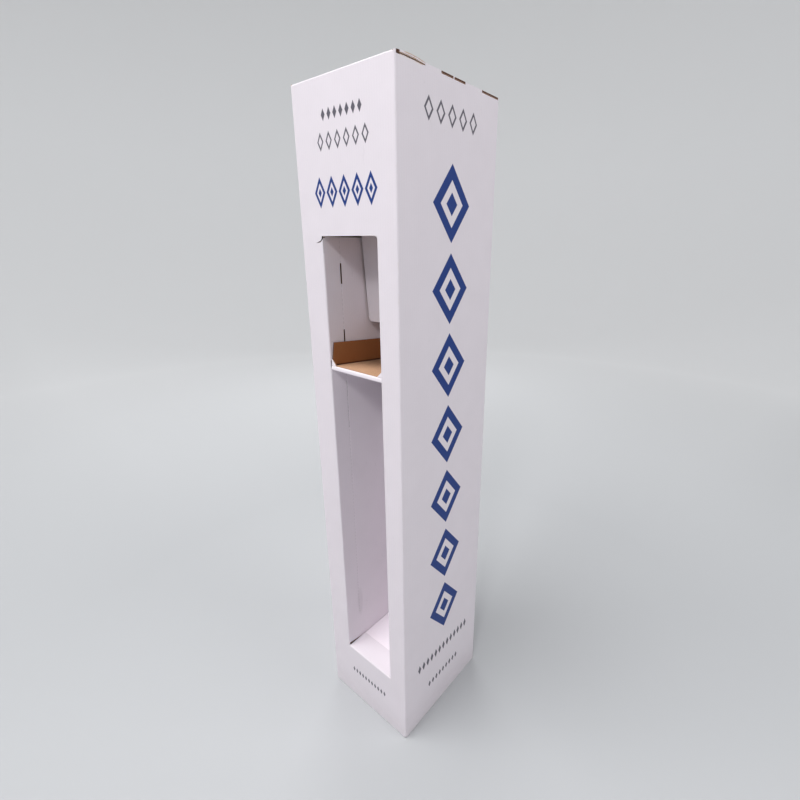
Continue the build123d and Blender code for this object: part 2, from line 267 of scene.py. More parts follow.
class Finish:
    """Builds the nodes of one material and gives it to a CAD node or to the floor."""

    def __init__(self, name, node_name):
        self.material = bpy.data.materials.new(name)
        self.material.use_nodes = True
        self.tree = self.material.node_tree
        self.shader = self.tree.nodes["Principled BSDF"]
        place = self.node("ShaderNodeTexCoord", {}, {})
        self.place = place.outputs["Object"]
        self.x, self.y, self.z = self.split(self.place)
        self.nx, self.ny, self.nz = self.split(place.outputs["Normal"])
        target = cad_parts.get(node_name) or bpy.data.objects[node_name]
        target.data.materials.clear()
        target.data.materials.append(self.material)

    def put(self, socket, value):
        """Links a socket to a value's socket, or sets the plain value on it."""
        if isinstance(value, Amount):
            value = value.socket
        if isinstance(value, bpy.types.NodeSocket):
            self.tree.links.new(value, socket)
        elif socket.type == "RGBA":
            socket.default_value = (*value, 1.0)
        else:
            socket.default_value = value

    def node(self, kind, settings, inputs):
        """One node, with its settings made before its sockets are filled."""
        node = self.tree.nodes.new(kind)
        for key, value in settings.items():
            setattr(node, key, value)
        pairs = inputs.items() if isinstance(inputs, dict) else enumerate(inputs)
        for key, value in pairs:
            self.put(node.inputs[key], value)
        return node

    def number(self, kind, settings, inputs):
        """The first output of a new node, as a number to count with."""
        return Amount(self, self.node(kind, settings, inputs).outputs[0])

    def split(self, vector):
        parts = self.node("ShaderNodeSeparateXYZ", {}, {0: vector})
        return [Amount(self, parts.outputs[i]) for i in range(3)]

    def noise(self, size, detail=3.0, roughness=0.55, stretch=(1.0, 1.0, 1.0), seed=0.0):
        """Soft noise whose lumps are about the given size in metres."""
        scaled = self.node(
            "ShaderNodeMapping",
            {"vector_type": "POINT"},
            {
                "Vector": self.place,
                "Location": (seed, seed * 0.7, seed * 1.3),
                "Scale": tuple(1.0 / (size * s) for s in stretch),
            },
        )
        return self.number(
            "ShaderNodeTexNoise",
            {"noise_dimensions": "3D"},
            {"Vector": scaled.outputs[0], "Scale": 1.0, "Detail": detail, "Roughness": roughness},
        )

    def blend(self, amount, first, second):
        """Colour mix: first where the amount is 0, second where it is 1."""
        settings = {"data_type": "RGBA", "blend_type": "MIX", "clamp_factor": True}
        mix = self.node("ShaderNodeMix", settings, {0: amount, 6: first, 7: second})
        return mix.outputs[2]

    def shade(self, tone, amount):
        """A colour made lighter or darker by a number around 1."""
        inputs = {0: tone, "Scale": amount}
        return self.node("ShaderNodeVectorMath", {"operation": "SCALE"}, inputs).outputs[0]

    def complete(self, tone, roughness, height):
        """Joins colour, roughness and relief to the shader."""
        self.put(self.shader.inputs["Base Color"], tone)
        self.put(self.shader.inputs["Roughness"], roughness)
        inputs = {"Strength": RELIEF, "Distance": RELIEF_DEPTH, "Height": height}
        relief = self.node("ShaderNodeBump", {}, inputs)
        self.put(self.shader.inputs["Normal"], relief.outputs[0])
        self.shader.inputs["Specular IOR Level"].default_value = 0.3


def choose(amount, first, second):
    """Number mix: first where the amount is 0, second where it is 1."""
    return first * (1.0 - amount) + second * amount


def flutes(along, pitch):
    """Wave of the flutes that shows faintly through the face of the board."""
    return (along * (math.tau / pitch)).sine() * 0.5 + 0.5


def white_face(paint, paper, along):
    """Coated white paper: faint mottle, washboard lines of the flutes, small scuffs."""
    mottle = paint.noise(0.055, 4.0, 0.5, seed=3.1)
    grain = paint.noise(0.0022, 2.0, 0.5, seed=7.7)
    scuff = paint.noise(0.018, 5.0, 0.62, stretch=(1.0, 1.0, 3.2), seed=1.9)
    tone = 1.0 + (mottle - 0.5) * 0.06 + (grain - 0.5) * 0.04
    tone = tone + (flutes(along, paper.flute_pitch) - 0.5) * 0.012
    tone = tone - scuff.above(0.70, 0.06) * 0.05
    return paint.shade(tuple(paper.white), tone)


def kraft_face(paint, paper, along):
    """Brown kraft liner: clouds, fibres, dark flecks and the faint lines of the flutes."""
    cloud = paint.noise(0.035, 4.0, 0.55, seed=5.3)
    fibre = paint.noise(0.0016, 4.0, 0.7, stretch=(1.0, 1.0, 5.0), seed=2.2)
    blotch = paint.noise(0.005, 3.0, 0.65, seed=12.6)
    fleck = paint.noise(0.0011, 1.0, 0.5, seed=9.4)
    tone = 1.0 + (cloud - 0.5) * 0.24 + (fibre - 0.5) * 0.32 + (blotch - 0.5) * 0.45
    tone = tone - fleck.above(0.73, 0.05) * 0.30
    tone = tone + (flutes(along, paper.flute_pitch) - 0.5) * 0.05
    return paint.shade(tuple(paper.kraft), tone)


def board_relief(paint, paper, along, waves=0.10):
    """Relief of the paper's fibres and of the flutes under it."""
    fibres = paint.noise(0.0025, 3.0, 0.6, seed=17.0) * 0.35
    return fibres + flutes(along, paper.flute_pitch) * waves


def raw_edge(paint, paper, along, depth, across_flutes):
    """Cut edge of the board: two paper liners, and between them the flutes or torn streaks."""
    wave = flutes(along, paper.flute_pitch) * 0.72 + 0.14
    torn = paint.noise(0.0035, 4.0, 0.65, seed=4.4)
    fluted = abs(depth - wave).below(0.12, 0.12)
    streak = abs(depth - 0.5 + (torn - 0.5) * 0.5).above(0.20, 0.16)
    fibre = paint.noise(0.0012, 4.0, 0.7, seed=8.8)
    inner = choose(across_flutes, streak, fluted)
    brown = paint.shade(tuple(paper.edge), 0.65 + fibre * 0.7)
    tone = paint.blend(inner, tuple(paper.flute), brown)
    liners = abs(depth - 0.5).above(0.40, 0.06) * (0.55 + fibre * 0.6)
    return paint.blend(liners.low(1.0), tone, tuple(paper.liner))


def lozenge(across, up, width, height):
    """Distance inside a lozenge's outline, in metres, above 0 inside it."""
    inside = 1.0 - abs(across) / (width / 2) - abs(up) / (height / 2)
    return inside * (width * height / 2 / math.hypot(width, height))


def lozenge_row(across, up, count, pitch, width, height, line=None, heart=0.0):
    """A row of whole lozenges, solid or outlined, with or without a small solid one in each."""
    phase = 0.5 if count % 2 else 0.0
    cell = ((across / pitch + phase).fract() - 0.5) * pitch
    inside = lozenge(cell, up, width, height)
    shape = inside.between(0.0, line, PRINT_SOFT) if line else inside.above(0.0, PRINT_SOFT)
    if heart:
        shape = shape | lozenge(cell, up, width * heart, height * heart).above(0.0, PRINT_SOFT)
    return shape & abs(across).below(count * pitch / 2, PRINT_SOFT)


def printed(paint, paper_tone, ink):
    """The paper with rows of lozenges printed on the front and both sides, and their mask."""
    y, z = paint.y, paint.z
    centre = paint.x - 0.004
    on_front = paint.ny.below(-0.6, 0.2) & y.below(FRONT + NEAR)
    on_side = abs(paint.nx).above(0.6, 0.2) & abs(paint.x).above(HALF_WIDTH - NEAR)

    # Column of large outlined lozenges down each side, with rows of small ones above and below
    pitch = ink.side_pitch
    up = (((ink.side_top - z) / pitch).fract() - 0.5) * pitch
    inside = lozenge(y, up, ink.side_width, ink.side_height)
    heart = lozenge(y, up, ink.side_width * 0.30, ink.side_height * 0.30)
    large = inside.between(0.0, ink.line, PRINT_SOFT) | heart.above(0.0, PRINT_SOFT)
    large = large & z.between(ink.side_top - 7 * pitch, ink.side_top, PRINT_SOFT)
    above = lozenge_row(y + 0.004, z - 1.533, 5, 0.036, 0.027, 0.042, line=0.0042)
    below = lozenge_row(y, z - 0.196, 13, 0.0175, 0.0120, 0.030)
    lowest = lozenge_row(y, z - 0.106, 9, 0.0155, 0.0100, 0.022)

    # On the front: two grey rows and a blue row on the header, and a grey row at the foot
    small = lozenge_row(centre, z - 1.533, 7, 0.0175, 0.0115, 0.022)
    medium = lozenge_row(centre, z - 1.487, 6, 0.026, 0.019, 0.034, line=0.0034)
    blue_row = lozenge_row(centre, z - 1.395, 5, 0.038, 0.034, 0.060, line=0.0058, heart=0.30)
    foot = lozenge_row(centre, z - 0.102, 11, 0.0125, 0.0080, 0.018)

    wear = paint.noise(0.004, 5.0, 0.7, seed=6.1).above(0.30, 0.10) * 0.08 + 0.92
    blue = (on_side & large) | (on_front & blue_row)
    grey = (on_side & (above | below | lowest)) | (on_front & (small | medium | foot))
    tone = paint.blend((blue * wear).low(1.0), paper_tone, tuple(ink.blue))
    return paint.blend((grey * wear * 0.92).low(1.0), tone, tuple(ink.grey)), blue | grey


def column_walls(paint):
    """Skin of the four walls, where it faces out, the depth below it and its rounded corners."""
    x, y, z = paint.x, paint.y, paint.z
    side_way = abs(x) - (HALF_WIDTH - FOLD_RADIUS)
    front_way = abs(y) - (HALF_DEPTH - FOLD_RADIUS)
    corner = (side_way.high(0.0) ** 2.0 + front_way.high(0.0) ** 2.0) ** 0.5
    outside = corner + side_way.high(front_way).low(0.0) - FOLD_RADIUS
    facing_out = (paint.nx * x / HALF_WIDTH + paint.ny * y / HALF_DEPTH).above(0.25, 0.05)
    skin = outside.above(-HAIR) | (outside.above(-0.0010) & facing_out)
    skin = skin & z.above(0.0028) & z.below(UNDER_LID)
    depth = (outside * (-1.0 / BOARD)).low(1.0)
    folds = facing_out * side_way.above(0.0008, 0.0008) * front_way.above(0.0008, 0.0008)
    return skin, facing_out, depth, folds


def window_flaps(paint):
    """The wall flap's face, and all of the wall flap and the sill flap that shows the sheet's outside."""
    x, y, z, nx, nz = paint.x, paint.y, paint.z, paint.nx, paint.nz
    in_flap = y.between(FRONT + 0.0005, FLAP_BACK + 0.0005) & z.between(SILL - 0.003, WINDOW_TOP)
    face = x.between(WINDOW_LEFT - 0.0009, WINDOW_LEFT + NEAR) & nx.above(0.35, TURN)
    fold = x.between(WINDOW_LEFT - 0.0042, WINDOW_LEFT + NEAR) & nx.above(0.02, 0.02)
    fold = fold & y.below(FRONT + 0.0040) & abs(nz).below(0.5)
    over_sill = x.between(WINDOW_LEFT, WINDOW_RIGHT) & y.below(SILL_FLAP_BACK + HAIR)
    sill_face = z.between(SILL - NEAR, SILL + NEAR) & nz.above(0.35, TURN)
    sill_fold = z.between(SILL - 0.0042, SILL + NEAR) & nz.above(0.02, 0.02)
    sill_fold = sill_fold & y.below(FRONT + 0.0040) & abs(nx).below(0.5)
    return in_flap & face, (in_flap & (face | fold)) | (over_sill & (sill_face | sill_fold))


def top_of_column(paint):
    """White faces round the lid, the tabs' raw edges, other raw edges on top, and the side walls."""
    x, y, z, ny, nz = paint.x, paint.y, paint.z, paint.ny, paint.nz
    back_from_front = y + HALF_DEPTH
    finger = back_from_front.between(*FINGERS[0])
    for start, end in FINGERS[1:]:
        finger = finger | back_from_front.between(start - 0.00015, end + 0.00015)
    facing_side = abs(paint.nx).above(0.7, TURN)
    outermost = abs(x).above(HALF_WIDTH - NEAR)
    upper = z.above(UNDER_LID - 0.0002)
    tab_edge = upper & facing_side & outermost & ~finger
    cut_top = z.above(LID_TOP - NEAR) & nz.above(0.5, TURN)
    at_side = abs(x).above(HALF_WIDTH - BOARD)
    top_edge = cut_top & ((finger & at_side) | y.above(HALF_DEPTH - BOARD - 0.0001))
    lid_face = nz.above(0.05, 0.05) & z.above(LID_TOP - 0.0042)
    lid_face = lid_face & (z.above(LID_TOP - NEAR) | y.below(FRONT + 0.0040))
    finger_skin = upper & finger & facing_side & outermost
    front_skin = upper & ny.below(-0.3, TURN) & y.below(FRONT + 0.0036)
    back_skin = upper & ny.above(0.5, TURN) & y.above(HALF_DEPTH - NEAR)
    dust_flap = nz.above(0.5, TURN) & z.between(LID_TOP - 0.0045, LID_TOP - 0.0031)
    white = lid_face | finger_skin | front_skin | back_skin | dust_flap
    return white, tab_edge, top_edge, (facing_side | at_side).low(1.0)


def cut_edges(paint):
    """Raw edges at the seam, at the window and at the back of the wall flap."""
    x, y, z, nx = paint.x, paint.y, paint.z, paint.nx
    seam = nx.below(-0.7, TURN) & x.below(-HALF_WIDTH + NEAR) & y.above(SEAM)
    window_top = paint.nz.below(-0.3, TURN) & z.between(WINDOW_TOP - 0.009, WINDOW_TOP + 0.001)
    window_right = nx.below(-0.3, TURN) & x.between(WINDOW_RIGHT - 0.009, WINDOW_RIGHT + 0.001)
    window = (window_top | window_right) & y.between(FRONT + HAIR, FRONT + 0.0032)
    rear = paint.ny.above(0.6, TURN) & x.between(WINDOW_LEFT - 0.0028, WINDOW_LEFT - 0.0002)
    rear = rear & y.between(FLAP_BACK - 0.012, FLAP_BACK + 0.001)
    return seam | window | rear


def crushed_tab(paint, paper, tone, tab_edge):
    """The sprung tab's crushed edge: brown at its front end, pale and torn behind."""
    back_from_front = paint.y + HALF_DEPTH
    crush = paint.noise(0.006, 5.0, 0.7, stretch=(1.0, 1.6, 1.0), seed=11.0)
    in_bow = back_from_front.between(0.0005, BOW_BACK + HAIR) & paint.x.above(HALF_WIDTH - 0.046)
    arch = (back_from_front - (BOW_FRONT + BOW_BACK) / 2) / ((BOW_BACK - BOW_FRONT) / 2)
    over = paint.z - UNDER_LID - (1.0 - arch * arch) * BOW_RISE
    bow_edge = tab_edge & in_bow
    brown_end = bow_edge & back_from_front.below(0.0115, 0.004)
    brown_top = in_bow & back_from_front.below(0.0125, 0.004) & paint.nz.above(0.1)
    brown_top = brown_top & paint.x.above(HALF_WIDTH - 0.007, 0.004)
    pale_edge = bow_edge & back_from_front.above(0.0115, 0.004)
    tan_line = pale_edge & (over + (crush - 0.5) * 0.0040).above(0.0017, 0.0006)
    tan_line = tan_line & back_from_front.above(0.024, 0.008)
    torn = in_bow & paint.nz.above(0.1) & paint.x.above(HALF_WIDTH - 0.010, 0.006) & crush.above(0.50, 0.10)
    tone = paint.blend(pale_edge, tone, paint.shade(tuple(paper.white), 0.82 + crush * 0.3))
    tan = paint.shade(TORN_TAN, 0.70 + crush * 0.5)
    tone = paint.blend((tan_line | (torn * 0.7)).low(1.0), tone, tan)
    brown = paint.shade(tuple(paper.edge), 0.35 + crush * 0.8)
    return paint.blend((brown_end | brown_top).low(1.0), tone, brown), crush


def creased_flap(paint, tone, flap_face):
    """The dashes down the wall flap's crease, darkened with painted shade, and a grey patch of painted
    shade at its foot.
    """
    from_crease = abs(paint.y - CREASE)
    dashes = from_crease.below(0.0007, 0.0006) & (paint.z / 0.0105).fract().above(0.45, 0.1)
    dashes = dashes & paint.z.above(0.27, 0.02)
    foot_shade_noise = paint.noise(0.012, 4.0, 0.6, stretch=(1.0, 1.0, 2.5), seed=13.0)
    patch = ((paint.y - CREASE - 0.004) / 0.009) ** 2.0 + ((paint.z - 0.305) / 0.045) ** 2.0
    foot_shade = patch.below(1.0, 1.1) * (0.35 + foot_shade_noise * 0.65)
    shadow = (flap_face & dashes) * 0.22 + (flap_face * foot_shade) * 0.16
    return paint.blend(shadow.low(1.0), tone, CREASE_SHADE), dashes


def cut_shade(paint):
    """Painted shade in the insides of the wall flap's slots and of the hooked cut, and in the gaps by the
    tray and the sill.
    """
    x, y, z, nx = paint.x, paint.y, paint.z, paint.nx
    in_slot = x.between(WINDOW_LEFT - BOARD, WINDOW_LEFT - 0.0005) & nx.below(0.3, TURN)
    in_slot = in_slot & y.between(FRONT + 0.006, FLAP_BACK - 0.006) & nx.above(-0.7, TURN)
    in_slot = in_slot & z.between(SILL + 0.004, WINDOW_TOP)
    in_hook = x.between(WINDOW_LEFT - 0.030, WINDOW_LEFT - HAIR) & abs(paint.ny).below(0.5, TURN)
    in_hook = in_hook & z.between(WINDOW_TOP - 0.035, WINDOW_TOP + 0.0035)
    in_hook = in_hook & y.between(FRONT + 0.0002, FRONT + 0.0032)
    by_tray = z.between(1.020, 1.038, 0.002) & y.between(FRONT + 0.0010, FRONT + 0.0040)
    by_tray = by_tray & x.between(WINDOW_LEFT - 0.0042, WINDOW_LEFT + NEAR)
    by_sill = x.between(WINDOW_LEFT - BOARD, WINDOW_LEFT + 0.0002) & paint.nz.below(-0.5, TURN)
    by_sill = by_sill & z.between(SILL - 0.004, SILL + 0.002) & y.between(FRONT + 0.003, FLAP_BACK)
    return (in_slot | in_hook | by_sill | (by_tray * 0.7)).low(1.0)


class STAND_OT_column(bpy.types.Operator):
    """Finish the column: white print outside, kraft inside, raw edges where it is cut"""

    bl_idname = "stand.column"
    bl_label = "Column finish"

    def execute(self, context):
        paper = context.scene.stand_paper
        paint = Finish("white_faced_board", "column_sleeve")
        wall_skin, facing_out, depth, folds = column_walls(paint)
        flap_face, flaps = window_flaps(paint)
        top_skin, tab_edge, top_edge, by_side = top_of_column(paint)

        # At the bottom the sheet turns under, and its flaps lie with their white side down
        turned = paint.z.below(0.0030) & (facing_out | paint.nz.below(-0.15, TURN))
        under = paint.nz.below(-0.5, TURN) & paint.z.below(0.0037) & abs(paint.x).below(0.125)
        skin = (wall_skin | flaps | top_skin | turned | under).low(1.0)
        raw = (tab_edge | top_edge | cut_edges(paint)).low(1.0)

        along = choose(abs(paint.nx).above(0.5, 0.1), paint.x, paint.y)
        print_tone, ink_mask = printed(paint, white_face(paint, paper, along), context.scene.stand_print)
        tone = paint.blend(skin, kraft_face(paint, paper, along), print_tone)
        edge_depth = choose(tab_edge, depth, (LID_TOP - paint.z) / BOARD)
        edge_along = choose(by_side, paint.x, paint.y)
        edge = raw_edge(paint, paper, edge_along, edge_depth, paint.nz.above(0.5, TURN))
        tone = paint.blend(raw, tone, edge)
        tone, crush = crushed_tab(paint, paper, tone, tab_edge)
        # Painted shade along the crease's dashes and in a patch at its foot
        tone, dashes = creased_flap(paint, tone, flap_face)
        # Painted shade in the slots, the hooked cut and the gaps by the tray and the sill
        tone = paint.blend(cut_shade(paint), tone, CUT_SHADE)

        # Painted shade with a dusty mottle on the lid's top, greyer patches towards the ground, and rubbed
        # folds
        dust = paint.noise(0.045, 5.0, 0.6, seed=23.0)
        lid_dust_and_shade = paint.nz.above(0.9, TURN) & paint.z.above(UNDER_LID) & (1.0 - raw)
        tone = paint.shade(tone, 1.0 - lid_dust_and_shade * (0.20 + dust * 0.16))
        # Greyer in noisy patches towards the ground
        low_grey_patches = paint.z.below(0.055, 0.09) * paint.noise(0.02, 5.0, 0.65, seed=15.0) * 0.20
        tone = paint.blend((low_grey_patches & wall_skin).low(1.0), tone, LOW_GREY)
        rubbed = paint.noise(0.010, 5.0, 0.7, stretch=(1.0, 1.0, 3.0), seed=21.0).above(0.60, 0.12)
        tone = paint.blend(((folds & rubbed) * 0.20).low(1.0), tone, RUBBED)

        height = board_relief(paint, paper, along) + (raw * crush) * 0.8 - dashes * 0.6
        rough = 0.52 + paint.noise(0.02, 3.0, 0.5, seed=19.0) * 0.10 - ink_mask * 0.06
        rough = rough + (1.0 - skin) * 0.32
        paint.complete(tone, rough.low(1.0), height)
        return {"FINISHED"}


class STAND_OT_liner(bpy.types.Operator):
    """Finish the liner: white towards the compartment, kraft behind"""

    bl_idname = "stand.liner"
    bl_label = "Liner finish"

    def execute(self, context):
        paper = context.scene.stand_paper
        paint = Finish("liner_board", "inner_liner")
        x, y, nx, ny = paint.x, paint.y, paint.nx, paint.ny
        wall = nx.below(-0.1, 0.05) & x.between(WINDOW_RIGHT - NEAR, WINDOW_RIGHT + 0.0010)
        back = ny.below(-0.1, 0.05) & y.between(BACK_WALL - NEAR, BACK_WALL + 0.0006)
        flange = ny.below(-0.1, 0.05) & y.below(FRONT + 0.0070)
        lap = nx.above(0.1, 0.05) & x.between(LAP_FACE - 0.0010, LAP_FACE + NEAR)
        white = wall | (back & x.above(LAP_FACE - NEAR)) | flange | lap
        ends = abs(paint.nz).above(0.6, TURN)
        in_wall = x.above(WINDOW_RIGHT - 0.0005)
        depth = choose(in_wall, (y - BACK_WALL) / BOARD, (x - WINDOW_RIGHT) / BOARD)
        edge = raw_edge(paint, paper, choose(in_wall, x, y), depth, ends)
        along = choose(abs(nx).above(0.5, 0.1), x, y)
        tone = paint.blend(white.low(1.0), kraft_face(paint, paper, along), white_face(paint, paper, along))
        tone = paint.blend(ends, tone, edge)
        paint.complete(tone, 0.86 - white.low(1.0) * 0.30, board_relief(paint, paper, along))
        return {"FINISHED"}


class STAND_OT_plinth(bpy.types.Operator):
    """Finish the plinth: the white floor of the compartment"""

    bl_idname = "stand.plinth"
    bl_label = "Plinth finish"

    def execute(self, context):
        paper = context.scene.stand_paper
        paint = Finish("plinth_board", "plinth_box")
        x, y = paint.x, paint.y
        top = paint.z.above(PLINTH_HIGH.z - 0.0042) & paint.nz.above(0.02, 0.02)
        sides = x.above(PLINTH_HIGH.x - HAIR) | x.below(PLINTH_LOW.x + HAIR)
        sides = sides | y.above(PLINTH_HIGH.y - HAIR) | y.below(PLINTH_LOW.y + HAIR)
        white = (top | sides).low(1.0)
        # Painted light: the compartment floor's white is a lightened copy of the white paper
        lit_white = paint.shade(white_face(paint, paper, y), 1.20)
        tone = paint.blend(white, kraft_face(paint, paper, y), lit_white)
        paint.complete(tone, 0.86 - white * 0.32, board_relief(paint, paper, y))
        return {"FINISHED"}


class STAND_OT_tray(bpy.types.Operator):
    """Finish the tray: kraft inside, white outside and on the hemmed front edge"""

    bl_idname = "stand.tray"
    bl_label = "Tray finish"

    def execute(self, context):
        paper = context.scene.stand_paper
        paint = Finish("tray_board", "shelf_tray")

        # Place and direction in the tray's own tilted frame
        cos, sin = math.cos(TRAY_TILT), math.sin(TRAY_TILT)
        across = paint.x - TRAY_ORIGIN.x
        y, z = paint.y - TRAY_ORIGIN.y, paint.z - TRAY_ORIGIN.z
        back = y * cos - z * sin
        up = y * sin + z * cos
        n_back = paint.ny * cos - paint.nz * sin
        n_up = paint.ny * sin + paint.nz * cos
        from_side = TRAY_HALF_WIDTH - abs(across)
        n_side = paint.nx * across / TRAY_HALF_WIDTH

        # White outside of the sheet, and its raw edges
        nose = back.below(0.0030, 0.0006) & up.below(HAIR) & n_up.below(0.94, 0.06)
        outer_sides = n_side.above(0.4, TURN) & from_side.below(0.0005)
        fold = from_side.below(0.0036) & up.below(0.0008) & n_side.above(0.03, 0.03)
        corner_face = n_back.below(-0.5, TURN) & up.above(0.0001) & back.below(0.0012)
        back_face = n_back.above(0.5, TURN) & back.above(TRAY_BACK_LIP - 0.001)
        underside = n_up.below(-0.5, TURN)
        white = nose | outer_sides | fold | corner_face | back_face | underside
        lip_top = n_up.above(0.6, TURN) & up.above(0.0010)
        slant = n_back.below(-0.2, TURN) & from_side.below(0.0031) & back.above(0.0013)
        corner_edge = n_up.above(0.3, TURN) & up.above(0.0005) & from_side.above(0.0031)
        corner_edge = corner_edge & back.below(0.0038)
        raw = lip_top | (slant & up.above(0.010)) | corner_edge
        side_zone = from_side.below(0.0032)
        depth_back = (back - (TRAY_BACK_LIP - BOARD)) / BOARD
        depth = choose(side_zone, depth_back.low(1.0).high(0.0), from_side / BOARD)
        edge = raw_edge(paint, paper, choose(side_zone, across, back), depth, lip_top)

        # Painted shade makes the upright lips a deeper brown, and painted shade with a speckled mottle
        # darkens the floor towards its back
        kraft = kraft_face(paint, paper, across)
        upright = n_up.below(0.5, TURN) & up.above(0.0)
        kraft = paint.blend(upright * 0.86, kraft, LIP_SHADE)
        # Painted shade, mottled with specks, towards the back of the floor
        back_shade = back.above(0.080, 0.070) & (1.0 - upright)
        speck = paint.noise(0.0045, 4.0, 0.7, seed=25.0)
        kraft = paint.shade(kraft, 1.06 - back_shade * (0.08 + speck * 0.85))

        # Painted shade in dark lines where the lips fold up, along the floor's crease and in the gap behind
        # the hem
        lip_foot = up.below(0.0030, 0.0015) & upright
        fold_shade = lip_foot | (from_side.below(0.0050, 0.0010) & (1.0 - upright))
        fold_shade = fold_shade & back.above(0.004, 0.002) & up.above(-0.001)
        kraft = paint.blend((fold_shade * 0.80).low(1.0), kraft, LIP_FOLD_SHADE)
        crease = back.between(0.0405, 0.0420, 0.0008) & n_up.above(0.6)
        hem_shade = back.between(0.0028, 0.0044, 0.0008) & n_up.above(0.6)
        kraft = paint.blend((crease * 0.12 + hem_shade * 0.8).low(1.0), kraft, tuple(paper.edge))

        # Painted light: the tray's white faces are a lightened copy of the white paper
        lit_white = paint.shade(white_face(paint, paper, across), 1.10)
        tone = paint.blend(white.low(1.0), kraft, lit_white)
        tone = paint.blend(raw.low(1.0), tone, edge)
        height = paint.noise(0.0022, 4.0, 0.65, seed=17.0) * 0.5
        height = height + flutes(across, paper.flute_pitch) * 0.14
        paint.complete(tone, 0.88 - white.low(1.0) * 0.32, height)
        return {"FINISHED"}


class STAND_OT_hanging(bpy.types.Operator):
    """Finish the hanging panel: white in front, kraft behind and under its flange"""

    bl_idname = "stand.hanging"
    bl_label = "Hanging panel finish"

    def execute(self, context):
        paper = context.scene.stand_paper
        paint = Finish("hanging_board", "hanging_panel")
        x, y, z = paint.x, paint.y, paint.z
        foot = paint.nz.below(-0.3, TURN) & z.below(HANG_LOW.z + 0.0095)
        flange_top = paint.nz.above(0.6, TURN) & z.above(HANG_HIGH.z - 0.0005)
        white = paint.ny.below(-0.3, TURN) & (1.0 - foot)
        depth = (y - HANG_FOLD - (CEILING - z) * math.tan(HANG_TILT)) / BOARD
        ends = abs(paint.nx).above(0.6, TURN) | foot | flange_top
        edge = raw_edge(paint, paper, x, depth, foot)
        # Painted shade: the panel's white face is a darkened copy of the white paper
        shaded_white = paint.shade(white_face(paint, paper, x), 0.88)
        tone = paint.blend(white.low(1.0), kraft_face(paint, paper, x), shaded_white)
        tone = paint.blend((ends * 0.85).low(1.0), tone, edge)
        paint.complete(tone, 0.86 - white.low(1.0) * 0.30, board_relief(paint, paper, x, waves=0.12))
        return {"FINISHED"}


class STAND_OT_torn_edge(bpy.types.Operator):
    """Add the torn paper that hangs from the sprung tab's edge into the gap under it"""

    bl_idname = "stand.torn_edge"
    bl_label = "Torn edge"

    def execute(self, context):
        middle = FRONT + (BOW_FRONT + BOW_BACK) / 2
        half = (BOW_BACK - BOW_FRONT) / 2
        bpy.ops.object.select_all(action="DESELECT")
        bpy.ops.mesh.primitive_grid_add(
            x_subdivisions=2, y_subdivisions=TORN_COLUMNS, size=1.0, rotation=(0.0, math.pi / 2, 0.0)
        )
        strip = context.object
        strip.name = "torn_edge"
        bpy.ops.transform.resize(value=(1.0, TORN_END - TORN_START, TORN_HEIGHT))
        place = (HALF_WIDTH - TORN_INSET, (TORN_START + TORN_END) / 2, UNDER_LID)
        bpy.ops.transform.translate(value=place)
        bpy.ops.object.transform_apply(location=True, rotation=True, scale=True)

        # Each column of points follows the bow, and its foot hangs down by its own ragged amount
        top, foot = UNDER_LID + TORN_HEIGHT / 3, UNDER_LID - TORN_HEIGHT / 3
        bpy.ops.object.mode_set(mode="EDIT")
        columns = sorted({round(v.co.y, 6) for v in bmesh.from_edit_mesh(strip.data).verts})
        for i, along in enumerate(columns):
            arch = (along - middle) / half
            rise = (1.0 - arch * arch) * BOW_RISE
            ragged = 0.55 + 0.25 * math.sin(i * 2.3) + 0.20 * math.sin(i * 0.77 + 1.0)
            curl = 0.0002 * math.sin(i * 0.9)
            self.move(strip, along, top, 2.0, (0.0, 0.0, rise))
            self.move(strip, along, foot, top, (0.0001, 0.0, rise * (1.0 - ragged / 2)))
            self.move(strip, along, 0.0, foot, (curl, 0.0, rise * (1.0 - ragged)))
        bpy.ops.object.mode_set(mode="OBJECT")
        sheet = strip.modifiers.new("sheet", "SOLIDIFY")
        sheet.thickness = TORN_PAPER
        sheet.offset = 0.0
        bpy.ops.object.modifier_apply(modifier="sheet")
        bpy.ops.object.mode_set(mode="EDIT")
        bpy.ops.mesh.select_all(action="SELECT")
        bpy.ops.mesh.normals_make_consistent(inside=False)
        bpy.ops.object.mode_set(mode="OBJECT")
        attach(strip, "root")

        paper = context.scene.stand_paper
        paint = Finish("torn_paper", strip.name)
        crush = paint.noise(0.006, 5.0, 0.7, stretch=(1.0, 1.6, 1.0), seed=11.0)
        pale = paint.shade(tuple(paper.white), 0.80 + crush * 0.3)
        tone = paint.blend(crush.above(0.49, 0.12), pale, RAGGED_TAN)
        paint.complete(tone, 0.8, crush)
        return {"FINISHED"}

    def move(self, strip, along, low, high, way):
        """Moves the points of one column between two heights, in edit mode."""
        mesh = bmesh.from_edit_mesh(strip.data)
        bpy.ops.mesh.select_all(action="DESELECT")
        for vertex in mesh.verts:
            vertex.select = abs(vertex.co.y - along) < 0.00001 and low < vertex.co.z < high
        mesh.select_flush_mode()
        bmesh.update_edit_mesh(strip.data)
        bpy.ops.transform.translate(value=way)


